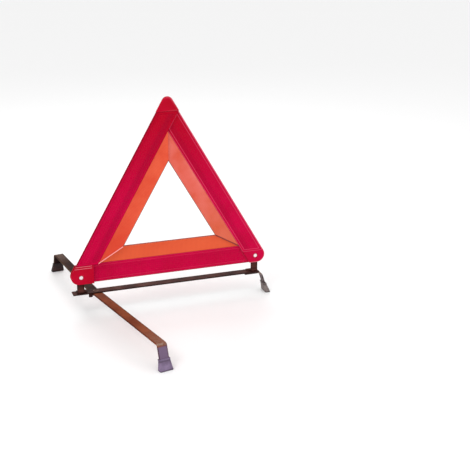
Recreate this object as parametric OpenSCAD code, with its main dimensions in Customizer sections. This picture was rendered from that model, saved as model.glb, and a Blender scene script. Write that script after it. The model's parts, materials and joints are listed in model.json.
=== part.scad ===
// Folding warning triangle on a steel stand with swinging legs.
// +X runs along the base to the right, -Y faces the traffic, +Z is up.
// The origin is on the ground, under the middle of the whole object.

/* [Triangle] */
// Side of the full triangle, from sharp corner to sharp corner
side = 520; // [430:1:640]
// Width of the red reflector band
red_w = 47; // [38:0.5:57]
// Width of the orange fluorescent band
orange_w = 36; // [20:0.5:44]
// Radius of the two lower corners
corner_r = 20; // [14:0.5:24]
// Radius of the top corner
apex_r = 13; // [8:0.5:16]

/* [Arms] */
// Thickness of an arm's back plate
plate_t = 2.2; // [1.6:0.1:3]
// Height of the reflector lens above its plate
lens_t = 1.8; // [1.7:0.1:2.6]
// Height of the fluorescent strip above its plate
glow_t = 1.1; // [0.6:0.1:1.6]
// Width of the raised rim along an arm's outer edge
rim_w = 1.6; // [1:0.1:3]
// Width of bare plate along an arm's inner edge
inner_edge_w = 1.4; // [0.8:0.1:3]
// Width by which one arm runs behind the next
lap_w = 8; // [4:0.5:12]
// Gap between the arms' layers, front to back
layer_gap = 0.4; // [0.3:0.05:1]
// Gap around the edge of a lens or strip
seam_gap = 0.25; // [0.1:0.05:0.5]
// Distance from the left pivot to the inner end of the corner plate
corner_plate_reach = 31; // [18:0.5:40]
// Wall of the cap around the tip of the left arm
cap_wall = 2; // [1.5:0.1:3]
// Distance by which the cap stands out past the arms
cap_step = 0.9; // [0.4:0.1:1.5]

/* [Arm pivots] */
// Distance of a pivot from its sharp corner, along the base
pivot_inset = 39; // [34:0.5:46]
// Height of a pivot above the base line
pivot_rise = 17.5; // [15:0.5:21]
// Radius of an arm rivet's shank
arm_rivet_r = 3; // [2:0.1:3.8]
// Radius of an arm rivet's head
arm_head_r = 5; // [4.2:0.1:6]
// Thickness of an arm rivet's head
arm_head_t = 1.4; // [1:0.1:1.5]
// Radius of the sunk ring around a rivet head
recess_r = 7.5; // [6.5:0.1:9]
// Radius of the spacers on the arm rivets
spacer_r = 8; // [6:0.1:9]
// Radial clearance of a rivet in its bore
bore_clear = 0.05; // [0.02:0.01:0.1]
// Clearance along a rivet between pieces that turn
face_clear = 0.1; // [0.05:0.01:0.15]
// Gap between a folded arm's tip and the spacer on the other pivot
spacer_gap = 2; // [0.5:0.1:4]

/* [Bar and brackets] */
// Height of the top of the bar above the ground
stand_h = 60; // [50:1:80]
// Distance from the triangle's base line down to the top of the bar
bar_drop = 28; // [20:1:40]
// Width of the bar
bar_w = 24; // [20:0.5:30]
// Thickness of the bar
bar_t = 3; // [2:0.1:4]
// Length of bar to the left of the left pivot
bar_left = 19; // [13:0.5:30]
// Length of bar to the right of the right pivot
bar_right = 13; // [12:0.5:30]
// Gap in front of the bar for the folded arms
bar_setback = 2; // [1:0.1:5]
// Width of a bracket's upright tab
tab_w = 17.6; // [16:0.1:22]
// Thickness of a bracket
tab_t = 2.5; // [2:0.1:3]
// Inner radius of a bracket's bend
tab_bend_r = 2; // [1:0.1:3]
// Extra width of a bracket's foot, on its inner side
foot_extra = 8; // [7:0.5:12]
// Distance of a bracket's foot from the bar's rear edge
foot_margin = 2.6; // [1:0.1:4]
// Distance of a foot's rivets from its ends
foot_rivet_in = 6; // [4.5:0.1:7]

/* [Legs] */
// Width of a leg strip
strip_w = 24; // [20:0.4:28.8]
// Thickness of a leg strip
strip_t = 3; // [2:0.1:4]
// Distance from the left arm pivot to the leg pivot
leg_offset = 38; // [34:0.5:60]
// Angle of the front leg from the bar
front_angle = 78; // [60:1:90]
// Angle of the rear leg from the bar
rear_angle = 97; // [85:1:110]
// Slope of the legs' ends away from upright
splay = 17; // [0:0.5:22]
// Inner radius of a swinging leg's bend
bend_r = 5; // [3:0.5:9]
// Inner radius of the fixed right leg's bend
right_bend_r = 12; // [6:0.5:14]
// Distance from the start of the right leg's bend to the bar's right end
bend_lead = 4; // [0:0.5:8]
// Distance from the right pivot back to the inner end of the right leg
right_leg_back = 25; // [22:0.5:40]
// Gap between the folded front leg's shoe and the right leg
fold_gap = 15; // [4:0.5:30]
// Difference in length between the two swinging legs
leg_stagger = 40; // [30:0.5:60]
// Vertical clearance between the bar and the swinging legs
leg_clear = 0.2; // [0.1:0.05:0.5]
// Distance by which a stop lug reaches below the lower leg
lug_low = 1.6; // [0.5:0.1:4]
// Width of a stop lug
lug_w = 9; // [6:0.1:12]

/* [Leg rivets] */
// Radius of the leg pivot's shank
leg_rivet_r = 3; // [2:0.1:3.8]
// Radius of the leg pivot's heads
leg_head_r = 6.5; // [5:0.1:8]
// Thickness of the washer under the legs
washer_t = 1; // [0.6:0.1:1.6]
// Radius of the washer under the legs
washer_r = 9; // [8:0.1:10]
// Radius of a bracket rivet's shank
small_rivet_r = 2.4; // [1.6:0.1:2.6]
// Radius of a bracket rivet's heads
small_head_r = 4; // [3.2:0.1:4.5]
// Thickness of the heads of the bracket and leg rivets
head_t = 1.8; // [1.2:0.1:2.4]

/* [Shoes] */
// Rubber beside each edge of a strip, at the top of its shoe
shoe_side = 2.2; // [1.5:0.1:4]
// Rubber on each face of a strip, at the top of its shoe
shoe_face = 3; // [2:0.1:4.5]
// Distance by which a shoe widens at each side towards the ground
shoe_flare = 2.1; // [0:0.1:4]
// Distance by which a shoe thickens at each face towards the ground
shoe_swell = 2.5; // [0:0.1:4]
// Height of a rubber shoe
shoe_h = 25; // [18:0.5:30]
// Thickness of rubber under the end of a strip
shoe_floor = 3; // [2:0.1:6]
// Bevel around the bottom edge of a shoe
shoe_bevel = 1.5; // [0.5:0.1:2.5]
// Gap between a strip and the pocket of its shoe
pocket_gap = 0.1; // [0.05:0.05:0.3]

/* [Hidden] */
$fn = 64;

// Distance by which a cut runs past a face, or one shape runs into the next
over = 1;

// Numbers that name the three sides: a side's own frame is turned by this many thirds of a turn
LEFT = -1;
BASE = 0;
RIGHT = 1;

arm_w = red_w + orange_w;
mid_z = side / (2 * sqrt(3));
apex_z = side * sqrt(3) / 2;
pivot_x = side / 2 - pivot_inset;
pivot_depth = pivot_inset * sin(60) - pivot_rise * cos(60);
cap_z = apex_z - red_w;
corner_plate_x = -(pivot_x - corner_plate_reach);
tip_cut = max(red_w - lap_w, pivot_depth + spacer_r + spacer_gap);

// Layers from front to back: left arm, right arm, base arm, then the brackets
arm_t = plate_t + lens_t;
left_y = -arm_t - layer_gap;
right_y = 0;
base_y = arm_t + layer_gap;
tab_y = base_y + arm_t;
bar_y = right_y + arm_t + bar_setback + bar_w / 2;

base_z = stand_h + bar_drop;
leg_x = -pivot_x + leg_offset;
bar_under = stand_h - bar_t;
front_top = bar_under - leg_clear;
rear_top = front_top - strip_t - leg_clear;
lug_z = rear_top - strip_t - lug_low;
washer_z = rear_top - strip_t - face_clear - washer_t;
foot_rivets = [foot_rivet_in - tab_w / 2, tab_w / 2 + foot_extra - foot_rivet_in];
tab_outer_r = tab_t + tab_bend_r;
foot_d = bar_y + bar_w / 2 - foot_margin - tab_y;

// Turn of a leg's bend, and how far along the leg the bend begins before its sharp corner
turn = 90 - splay;
bend_steps = 16;
function bend_start(r) = (r + strip_t) * tan(turn / 2);
// Length of the sloping end, down to a height above the ground
function slope_len(top, r, floor_z) =
    (top - floor_z - r - strip_t + cos(turn) * (r + strip_t / 2)) / sin(turn);
// Distance from a leg's sharp corner to the middle of its sole
function sole_past(top, r) =
    cos(turn) * slope_len(top, r, 0) + sin(turn) * (r + strip_t / 2) - bend_start(r);

shoe_top_w = strip_w + 2 * shoe_side;
shoe_top_t = strip_t + 2 * shoe_face;
shoe_w = shoe_top_w + 2 * shoe_flare;
shoe_t = shoe_top_t + 2 * shoe_swell;

// The long leg, folded back along the bar, stops short of the fixed right leg
right_start = pivot_x - right_leg_back;
front_len = right_start - fold_gap - shoe_t / 2 - sole_past(front_top, bend_r) - leg_x;
rear_len = front_len - leg_stagger;
right_corner = pivot_x + bar_right - bend_lead + bend_start(right_bend_r);
front_sole = front_len + sole_past(front_top, bend_r);
rear_sole = rear_len + sole_past(rear_top, bend_r);
right_sole = right_corner + sole_past(bar_under, right_bend_r);

// Half size of a turned sole along the line at right angles to the bar
function sole_half(a) = shoe_t / 2 * sin(a) + shoe_w / 2 * abs(cos(a));
low_x = min(-side / 2 + corner_r * (sqrt(3) - 1),
            leg_x + rear_sole * cos(rear_angle) - shoe_w / 2 * sin(rear_angle)
            - shoe_t / 2 * abs(cos(rear_angle)));
high_x = right_sole + shoe_t / 2;
low_y = bar_y - front_sole * sin(front_angle) - sole_half(front_angle);
high_y = bar_y + rear_sole * sin(rear_angle) + sole_half(rear_angle);

red = [0.72, 0.03, 0.13];
deep_red = [0.55, 0.02, 0.12];
orange = [0.93, 0.36, 0.16];
steel = [0.22, 0.15, 0.13];
rubber = [0.30, 0.28, 0.31];
bright = [0.85, 0.75, 0.76];

// Puts everything over the origin
module placed() translate([-(low_x + high_x) / 2, -(low_y + high_y) / 2, 0]) children();

// Stands a flat outline up in the triangle's plane, from y back to y + t
module upright(y, t) placed() translate([0, y + t, base_z]) rotate([90, 0, 0]) linear_extrude(t)
    children();

// A cylinder along Y on an arm's pivot, from y back to y + t
module pivot_disc(sign, y, t, r) placed() translate([sign * pivot_x, y, base_z + pivot_rise])
    rotate([-90, 0, 0]) cylinder(h = t, r = r);

// Turns a side's own frame, with its outer edge along X, onto that side
module on_side(k) translate([0, mid_z]) rotate(k * 120) translate([0, -mid_z]) children();

// The strip between two distances inside a side's outer edge
module band(k, from, to) on_side(k) translate([-side, from]) square([2 * side, to - from]);

// Everything further than d inside a side's outer edge
module beyond(k, d) band(k, d, 2 * side);

// Everything above the line that halves a lower corner, lowered by a lap
module above_mitre(sign, lap = 0) mirror([sign > 0 ? 1 : 0, 0]) translate([-side / 2, 0]) rotate(30)
    translate([-side, -lap]) square([3 * side, 2 * side]);

// Everything to one side of an upright line
module side_of(sign, x) translate([sign < 0 ? x - 2 * side : x, -side]) square([2 * side, 3 * side]);

// The whole triangle with round corners, grown or shrunk by g
module outline(g = 0) {
    low = [side / 2 - corner_r * sqrt(3), corner_r];
    top = [0, apex_z - 2 * apex_r];
    for (s = [-1, 1]) translate([s * low[0], low[1]]) circle(corner_r + g);
    translate(top) circle(apex_r + g);
    polygon([
        [-low[0], -g], [low[0], -g],
        low + (corner_r + g) * [sin(60), cos(60)],
        top + (apex_r + g) * [sin(60), cos(60)],
        top + (apex_r + g) * [-sin(60), cos(60)],
        [-low[0] - (corner_r + g) * sin(60), low[1] + (corner_r + g) * cos(60)]
    ]);
}

// The raised rim of an arm, kept to the shapes given as children
module rim(y) upright(y, lens_t) intersection() {
    difference() {
        outline();
        outline(-rim_w);
    }
    children();
}

module pivot_hole(sign, y) pivot_disc(sign, y - over, arm_t + tab_t + 2 * over, arm_rivet_r + bore_clear);

// Base arm

module base_arm_housing() color(deep_red) difference() {
    union() {
        upright(base_y + lens_t, plate_t) intersection() {
            outline();
            union() {
                band(BASE, -over, red_w);
                difference() {
                    band(BASE, red_w - over, arm_w);
                    above_mitre(-1, -lap_w);
                    above_mitre(1, -lap_w);
                }
            }
        }
        rim(base_y) intersection() {
            band(BASE, -over, rim_w);
            side_of(1, corner_plate_x - lap_w);
            beyond(RIGHT, red_w - lap_w);
        }
    }
    for (s = [-1, 1]) pivot_hole(s, base_y);
}

module base_arm_reflector() color(red) upright(base_y, lens_t) intersection() {
    band(BASE, rim_w + seam_gap, red_w - seam_gap);
    side_of(1, corner_plate_x - lap_w);
    beyond(RIGHT, red_w - lap_w / 2);
}

module base_arm_fluorescent_strip() color(orange) upright(base_y + lens_t - glow_t, glow_t)
    difference() {
        band(BASE, red_w + seam_gap, arm_w - inner_edge_w);
        above_mitre(-1, -lap_w / 2);
        above_mitre(1, -lap_w / 2);
    }

// Left arm, with the corner plate at its foot and the cap at its tip

module corner_plate() intersection() {
    outline();
    side_of(-1, corner_plate_x);
    band(BASE, -over, red_w);
}

module left_arm_housing() color(deep_red) difference() {
    union() {
        upright(left_y + lens_t, plate_t) difference() {
            union() {
                corner_plate();
                intersection() {
                    outline();
                    band(LEFT, -over, red_w);
                    beyond(BASE, red_w - over);
                }
                intersection() {
                    band(LEFT, red_w - over, arm_w);
                    side_of(-1, 0);
                    above_mitre(-1);
                }
            }
            difference() {
                translate([-side, cap_z]) square(2 * side);
                outline(-cap_wall);
            }
        }
        rim(left_y) intersection() {
            band(LEFT, -over, rim_w);
            beyond(BASE, red_w - over);
            translate([-side, 0]) square([2 * side, cap_z]);
        }
        upright(left_y, lens_t) corner_plate();
    }
    pivot_hole(-1, left_y);
    pivot_disc(-1, left_y - over, lens_t + over, recess_r);
}

module left_arm_reflector() color(red) upright(left_y, lens_t) intersection() {
    band(LEFT, rim_w + seam_gap, red_w - seam_gap);
    beyond(BASE, red_w + seam_gap);
    translate([-side, 0]) square([2 * side, cap_z - seam_gap]);
    outline();
}

module left_arm_fluorescent_strip() color(orange) upright(left_y + lens_t - glow_t, glow_t)
    intersection() {
        band(LEFT, red_w + seam_gap, arm_w - inner_edge_w);
        side_of(-1, 0);
        above_mitre(-1);
    }

module apex_cap() color(red) difference() {
    upright(left_y - cap_step, arm_t + cap_step) intersection() {
        outline(cap_step);
        translate([-side, cap_z]) square(2 * side);
    }
    upright(left_y + lens_t, plate_t + over) outline(-cap_wall);
}

// Right arm, whose tip runs behind the left arm

module right_arm_housing() color(deep_red) difference() {
    union() {
        upright(right_y + lens_t, plate_t) union() {
            intersection() {
                outline();
                band(RIGHT, -over, red_w);
                beyond(LEFT, tip_cut);
            }
            intersection() {
                band(RIGHT, red_w - over, arm_w);
                side_of(1, -lap_w);
                above_mitre(1);
            }
        }
        rim(right_y) intersection() {
            band(RIGHT, -over, red_w);
            beyond(LEFT, red_w - lap_w / 2);
        }
    }
    pivot_hole(1, right_y);
}

module right_arm_reflector() color(red) difference() {
    upright(right_y, lens_t) intersection() {
        outline(-rim_w - seam_gap);
        band(RIGHT, -over, red_w - seam_gap);
        beyond(LEFT, red_w - lap_w / 2);
    }
    pivot_disc(1, right_y - over, lens_t + 2 * over, recess_r);
}

module right_arm_fluorescent_strip() color(orange) upright(right_y + lens_t - glow_t, glow_t)
    intersection() {
        band(RIGHT, red_w + seam_gap, arm_w - inner_edge_w);
        side_of(1, -lap_w / 2);
        above_mitre(1);
    }

// Arm rivets and spacers

// A rivet through an arm whose front face is at y, the base arm and a bracket
module arm_rivet(sign, y) {
    head_y = y + lens_t - face_clear - arm_head_t;
    tail_y = tab_y + tab_t;
    pivot_disc(sign, head_y, arm_head_t, arm_head_r);
    pivot_disc(sign, head_y, tail_y + head_t - head_y, arm_rivet_r);
    pivot_disc(sign, tail_y, head_t, arm_head_r);
}

module left_arm_rivet() color(bright) arm_rivet(-1, left_y);
module right_arm_rivet() color(bright) arm_rivet(1, right_y);

// A ring that fills the space between an arm whose front face is at y and the base arm
module pivot_spacer(sign, y) difference() {
    front = y + arm_t + face_clear;
    pivot_disc(sign, front, base_y + lens_t - front, spacer_r);
    pivot_disc(sign, front - over, base_y + arm_t - front + over, arm_rivet_r + bore_clear);
}

module left_pivot_spacer() color(bright) pivot_spacer(-1, left_y);
module right_pivot_spacer() color(bright) pivot_spacer(1, right_y);

// The hole for an upright rivet of radius r through a thickness that starts at z = 0
module bore(thickness, r) translate([0, 0, -over])
    cylinder(h = thickness + 2 * over, r = r + bore_clear);

// Bar and brackets

// Moves the rivets of both brackets' feet, or of one, into place
module at_foot_rivets(signs = [-1, 1]) placed() for (s = signs, u = foot_rivets)
    translate([s * (pivot_x - u), bar_y + tab_t / 2, 0]) children();

// A lug under the bar's front edge (side -1) or rear edge (side 1) that stops a leg at its left side
module stop_lug(side, angle) {
    outer = bar_w / 2;
    inner = outer - bar_t;
    reach = max(-outer * cos(angle), -inner * cos(angle));
    edge = (strip_w / 2 + leg_clear + reach) / sin(angle);
    translate([leg_x - edge - lug_w, bar_y + (side < 0 ? -outer : inner), lug_z])
        cube([lug_w, bar_t, stand_h - lug_z]);
}

module stand_bar() color(steel) difference() {
    placed() {
        translate([-pivot_x - bar_left, bar_y - bar_w / 2, bar_under])
            cube([2 * pivot_x + bar_left + bar_right, bar_w, bar_t]);
        stop_lug(-1, front_angle);
        stop_lug(1, rear_angle);
    }
    at_foot_rivets() translate([0, 0, bar_under]) bore(bar_t, small_rivet_r);
    placed() translate([leg_x, bar_y, bar_under]) bore(bar_t, leg_rivet_r);
}

// The bent profile of a bracket: its foot lies back along the bar, its tab stands at the front
module bracket_profile(height) {
    translate([0, tab_outer_r]) square([tab_t, height - tab_outer_r]);
    translate([tab_outer_r, 0]) square([foot_d - tab_outer_r, tab_t]);
    intersection() {
        square(tab_outer_r);
        translate([tab_outer_r, tab_outer_r]) difference() {
            circle(tab_outer_r);
            circle(tab_bend_r);
        }
    }
}

module bracket(sign) difference() {
    tab_h = bar_drop + pivot_rise;
    union() {
        placed() translate([sign * pivot_x, tab_y, stand_h]) {
            rotate([90, 0, 90]) linear_extrude(tab_w, center = true) bracket_profile(tab_h);
            translate([sign > 0 ? -tab_w / 2 - foot_extra : -tab_w / 2, tab_outer_r, 0])
                cube([tab_w + foot_extra, foot_d - tab_outer_r, tab_t]);
        }
        pivot_disc(sign, tab_y, tab_t, tab_w / 2);
    }
    pivot_hole(sign, base_y);
    at_foot_rivets([sign]) translate([0, 0, stand_h]) bore(tab_t, small_rivet_r);
}

module left_bracket() color(steel) bracket(-1);
module right_bracket() color(steel) bracket(1);

// A rivet head with a bevelled rim, standing on z = 0
module head(r, t) rotate_extrude() polygon([[0, 0], [r, 0], [r, t / 3], [r - t * 0.6, t], [0, t]]);

// An upright rivet that holds what lies between two heights
module upright_rivet(low, high, r, head_r, t) {
    translate([0, 0, low]) cylinder(h = high - low, r = r);
    translate([0, 0, high]) head(head_r, t);
    translate([0, 0, low]) mirror([0, 0, 1]) head(head_r, t);
}

module bracket_rivets() color(steel) {
    at_foot_rivets([-1]) upright_rivet(bar_under, stand_h + tab_t, small_rivet_r, small_head_r, head_t);
    at_foot_rivets([1])
        upright_rivet(bar_under - strip_t, stand_h + tab_t, small_rivet_r, small_head_r, head_t);
}

// Legs

// Side view of a leg's strip: its top is at z = 0, and it starts at x = from
module leg_profile(from, corner, top, r) {
    center = [corner - bend_start(r), -r - strip_t];
    steps = [for (i = [0:bend_steps]) turn * i / bend_steps];
    slope = slope_len(top, r, shoe_floor) * [cos(turn), -sin(turn)];
    outer = [for (a = steps) center + (r + strip_t) * [sin(a), cos(a)]];
    inner = [for (i = [bend_steps:-1:0]) center + r * [sin(steps[i]), cos(steps[i])]];
    polygon(concat(
        [[from, 0]], outer, [outer[bend_steps] + slope, inner[0] + slope], inner, [[from, -strip_t]]
    ));
}

// A strip of the given side view, standing on its pivot at (0, 0) with its top at a height
module leg_strip(from, corner, top, r) translate([0, 0, top]) rotate([90, 0, 0])
    linear_extrude(strip_w, center = true) leg_profile(from, corner, top, r);

// Turns a leg about the leg pivot
module swung(angle) placed() translate([leg_x, bar_y, 0]) rotate([0, 0, angle]) children();

module swinging_leg(len, top) difference() {
    union() {
        leg_strip(0, len, top, bend_r);
        translate([0, 0, top - strip_t]) cylinder(h = strip_t, r = strip_w / 2);
    }
    translate([0, 0, top - strip_t]) bore(strip_t, leg_rivet_r);
}

module front_leg() color(steel) swung(-front_angle) swinging_leg(front_len, front_top);
module rear_leg() color(steel) swung(rear_angle) swinging_leg(rear_len, rear_top);

module right_leg() color(steel) difference() {
    placed() translate([0, bar_y, 0]) leg_strip(right_start, right_corner, bar_under, right_bend_r);
    at_foot_rivets([1]) translate([0, 0, bar_under - strip_t]) bore(strip_t, small_rivet_r);
}

module leg_pivot_rivet() color(steel) placed() translate([leg_x, bar_y, 0])
    upright_rivet(washer_z, stand_h, leg_rivet_r, leg_head_r, head_t);

module leg_washer() color(bright) placed() translate([leg_x, bar_y, washer_z]) difference() {
    cylinder(h = washer_t, r = washer_r);
    bore(washer_t, leg_rivet_r);
}

// Rubber shoes

// A shoe for the leg of that corner, in the leg's own frame
module shoe(corner, top, r) difference() {
    sole = corner + sole_past(top, r);
    lean = shoe_h * tan(splay);
    intersection() {
        rotate([90, 0, 0]) linear_extrude(2 * shoe_w, center = true) translate([sole, 0]) polygon([
            [shoe_bevel - shoe_t / 2, 0], [shoe_t / 2 - shoe_bevel, 0], [shoe_t / 2, shoe_bevel],
            [shoe_top_t / 2 - lean, shoe_h], [-shoe_top_t / 2 - lean, shoe_h],
            [-shoe_t / 2, shoe_bevel]
        ]);
        translate([corner - shoe_h, 0, 0]) rotate([90, 0, 90]) linear_extrude(4 * shoe_h) polygon([
            [shoe_bevel - shoe_w / 2, 0], [shoe_w / 2 - shoe_bevel, 0], [shoe_w / 2, shoe_bevel],
            [shoe_top_w / 2, shoe_h], [-shoe_top_w / 2, shoe_h], [-shoe_w / 2, shoe_bevel]
        ]);
    }
    translate([corner - bend_start(r), 0, top - r - strip_t]) rotate([0, turn, 0])
        translate([0, -strip_w / 2 - pocket_gap, r - pocket_gap])
            cube([slope_len(top, r, shoe_floor), strip_w + 2 * pocket_gap, strip_t + 2 * pocket_gap]);
}

module front_shoe() color(rubber) swung(-front_angle) shoe(front_len, front_top, bend_r);
module rear_shoe() color(rubber) swung(rear_angle) shoe(rear_len, rear_top, bend_r);
module right_shoe() color(rubber) placed() translate([0, bar_y, 0])
    shoe(right_corner, bar_under, right_bend_r);

stand_bar();
left_bracket();
right_bracket();
bracket_rivets();
right_leg();
right_shoe();
leg_pivot_rivet();
leg_washer();
front_leg();
front_shoe();
rear_leg();
rear_shoe();
base_arm_housing();
base_arm_reflector();
base_arm_fluorescent_strip();
left_arm_housing();
left_arm_reflector();
left_arm_fluorescent_strip();
apex_cap();
right_arm_housing();
right_arm_reflector();
right_arm_fluorescent_strip();
left_arm_rivet();
right_arm_rivet();
left_pivot_spacer();
right_pivot_spacer();
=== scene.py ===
# Folding warning triangle: how it looks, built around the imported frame, in metres
import json
import math

import bmesh
import bpy
import numpy as np
from mathutils import Matrix, Vector


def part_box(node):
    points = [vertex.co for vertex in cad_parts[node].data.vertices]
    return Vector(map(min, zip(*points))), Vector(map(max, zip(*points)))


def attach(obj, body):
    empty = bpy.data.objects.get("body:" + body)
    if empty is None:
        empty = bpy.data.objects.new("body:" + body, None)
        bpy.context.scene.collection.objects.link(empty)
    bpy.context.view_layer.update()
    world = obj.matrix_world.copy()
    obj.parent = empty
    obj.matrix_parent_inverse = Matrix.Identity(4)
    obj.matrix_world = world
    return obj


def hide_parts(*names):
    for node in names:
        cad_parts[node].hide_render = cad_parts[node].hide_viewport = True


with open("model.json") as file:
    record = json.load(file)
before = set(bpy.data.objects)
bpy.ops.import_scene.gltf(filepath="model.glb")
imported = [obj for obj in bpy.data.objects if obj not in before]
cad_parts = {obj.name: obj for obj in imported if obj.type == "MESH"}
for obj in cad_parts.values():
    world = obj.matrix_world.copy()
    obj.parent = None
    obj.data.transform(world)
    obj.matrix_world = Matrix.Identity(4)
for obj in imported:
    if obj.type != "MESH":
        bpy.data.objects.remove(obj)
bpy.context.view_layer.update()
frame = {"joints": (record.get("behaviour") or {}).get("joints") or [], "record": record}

mm = 0.001
left, base, right = -1, 0, 1   # sides, as thirds of a turn from the base
sin60, root3 = math.sin(math.radians(60)), math.sqrt(3)
joints = {joint["name"]: np.array(joint["pos_m"]) for joint in frame["joints"]}
soles = {mount["name"]: np.array(mount["pos_m"]) for mount in frame["record"]["mounts"]}
leftPivot, rightPivot = joints["left_arm_fold"], joints["right_arm_fold"]
legPivot = joints["front_leg_swing"]

triangle = {
    "side": 520 * mm,
    "redBand": 47 * mm,
    "orangeBand": 36 * mm,
    "lowerRound": 20 * mm,
    "topRound": 13 * mm,
    "lap": 8 * mm,                # how far an arm's end runs on under its neighbour
    "rim": 1.6 * mm,
    "innerEdge": 1.4 * mm,        # the bare plate round the opening
    "seam": 0.25 * mm,            # between a lens or strip and its neighbour
    "cornerPlateReach": 31 * mm,
    "rightTipCut": 39 * mm,
}
halfSide = triangle["side"] / 2
midHeight = halfSide / root3
apexHeight = halfSide * root3
red = triangle["redBand"]
armWide = red + triangle["orangeBand"]
capHeight = apexHeight - red
centreX = (leftPivot[0] + rightPivot[0]) / 2
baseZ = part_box("base_arm_housing")[0].z
cornerPlateEdge = leftPivot[0] - centreX + triangle["cornerPlateReach"]
lensInset = triangle["rim"] + triangle["seam"]
shoulder = 0.3   # a rounded edge's middle point sits this share of the rounding inside both faces

sideNames = {left: "left_arm", base: "base_arm", right: "right_arm"}
sideBodies = {left: "left_arm", base: "stand", right: "right_arm"}
armFront = {side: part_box(name + "_housing")[0].y for side, name in sideNames.items()}
armBack = {side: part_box(name + "_housing")[1].y for side, name in sideNames.items()}
plateFront = {side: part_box(name + "_reflector")[1].y for side, name in sideNames.items()}


# Camera, lights and floor

cameraView = {
    "place": (-0.6603, -2.3106, 1.0371),
    "yaw": 19.49,      # degrees to the right
    "pitch": 19.55,    # degrees down
    "lens": 80.66,
}

studio = {
    "skyStrength": 0.95,
    "aim": (centreX, 0, 0.2),
    "lights": {
        "keyLight": {"place": (-1.5, -1.1, 1.9), "size": 0.9, "power": 13},
        "fillLight": {"place": (1.6, -1.8, 0.9), "size": 1.4, "power": 4},
        "rimLight": {"place": (0.3, 1.5, 1.7), "size": 1.0, "power": 8},
    },
    "floorSize": 30,
    "floorTone": 0.95,
    "floorRough": 0.9,
    "floorShine": 0.1,
}


def makeCamera():
    data = bpy.data.cameras.new("camera")
    data.lens = cameraView["lens"]
    camera = bpy.data.objects.new("camera", data)
    camera.matrix_world = (
        Matrix.Translation(cameraView["place"])
        @ Matrix.Rotation(math.radians(-cameraView["yaw"]), 4, "Z")
        @ Matrix.Rotation(math.radians(90 - cameraView["pitch"]), 4, "X")
    )
    bpy.context.scene.collection.objects.link(camera)
    bpy.context.scene.camera = camera


def makeLights():
    world = bpy.data.worlds.new("studio")
    bpy.context.scene.world = world
    world.use_nodes = True
    sky = world.node_tree.nodes["Background"]
    sky.inputs["Color"].default_value = (1, 1, 1, 1)
    sky.inputs["Strength"].default_value = studio["skyStrength"]
    bpy.context.scene.view_settings.view_transform = "Standard"
    for name, lamp in studio["lights"].items():
        data = bpy.data.lights.new(name, "AREA")
        data.size = lamp["size"]
        data.energy = lamp["power"]
        light = bpy.data.objects.new(name, data)
        turn = (Vector(studio["aim"]) - Vector(lamp["place"])).to_track_quat("-Z", "Y")
        light.matrix_world = Matrix.Translation(lamp["place"]) @ turn.to_matrix().to_4x4()
        bpy.context.scene.collection.objects.link(light)


def makeFloor():
    reach = studio["floorSize"] / 2
    corners = [(-reach, -reach, 0), (reach, -reach, 0), (reach, reach, 0), (-reach, reach, 0)]
    mesh = bpy.data.meshes.new("floor")
    mesh.from_pydata(corners, [], [(0, 1, 2, 3)])
    floor = bpy.data.objects.new("floor", mesh)
    bpy.context.scene.collection.objects.link(floor)
    material = bpy.data.materials.new("paleFloor")
    material.use_nodes = True
    shader = material.node_tree.nodes["Principled BSDF"]
    shader.inputs["Base Color"].default_value = (studio["floorTone"],) * 3 + (1,)
    shader.inputs["Roughness"].default_value = studio["floorRough"]
    shader.inputs["Specular IOR Level"].default_value = studio["floorShine"]
    mesh.materials.append(material)


makeCamera()
makeLights()
makeFloor()
print("studio ready")


# Materials. In a finish, a cloud is noise at a scale in cells per metre that rises along its span
# between two limits, and the relief is a depth and a strength.

def startMaterial(name):
    material = bpy.data.materials.new(name)
    material.use_nodes = True
    tree = material.node_tree
    return material, tree, tree.nodes.new("ShaderNodeTexCoord").outputs["Object"]


def setSocket(tree, socket, value):
    # A link from another node, or a constant; a colour of three parts is made opaque
    if isinstance(value, bpy.types.NodeSocket):
        tree.links.new(value, socket)
    elif socket.type == "RGBA":
        socket.default_value = tuple(value) + (1,)
    else:
        socket.default_value = value


def addNode(tree, kind, settings=(), **sockets):
    node = tree.nodes.new("ShaderNode" + kind)
    for name, value in dict(settings).items():
        setattr(node, name, value)
    for name, value in sockets.items():
        setSocket(tree, node.inputs[name.replace("_", " ")], value)
    return node


def addNoise(tree, place, scale, detail=4.0, stretch=(1, 1, 1)):
    mapping = addNode(tree, "Mapping", Vector=place, Scale=stretch)
    noise = addNode(tree, "TexNoise", Vector=mapping.outputs["Vector"], Scale=scale, Detail=detail)
    return noise.outputs["Fac"]


def addRamp(tree, value, limits=(0.0, 1.0), span=(0.0, 1.0)):
    # A grey that goes from one end of the span to the other while the value passes between the limits
    ramp = addNode(tree, "ValToRGB", Fac=value)
    for element, limit, grey in zip(ramp.color_ramp.elements, limits, span):
        element.position = limit
        element.color = (grey, grey, grey, 1)
    return ramp.outputs["Color"]


def addCloud(tree, place, scale, limits, span=(0.0, 1.0), detail=4.0, stretch=(1, 1, 1)):
    return addRamp(tree, addNoise(tree, place, scale, detail, stretch), limits, span)


def addMix(tree, share, first, second):
    mix = addNode(tree, "Mix", {"data_type": "RGBA"})
    for index, value in ((0, share), (6, first), (7, second)):   # the sockets that colours use
        setSocket(tree, mix.inputs[index], value)
    return mix.outputs[2]


def addMath(tree, operation, first, second):
    node = addNode(tree, "Math", {"operation": operation})
    setSocket(tree, node.inputs[0], first)
    setSocket(tree, node.inputs[1], second)
    return node.outputs[0]


def addHeight(tree, place, start, stop):
    # The height turned to a share: nought at the start, one at the stop
    height = addNode(tree, "SeparateXYZ", Vector=place).outputs["Z"]
    return addNode(tree, "MapRange", Value=height, From_Min=start, From_Max=stop).outputs["Result"]


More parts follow.
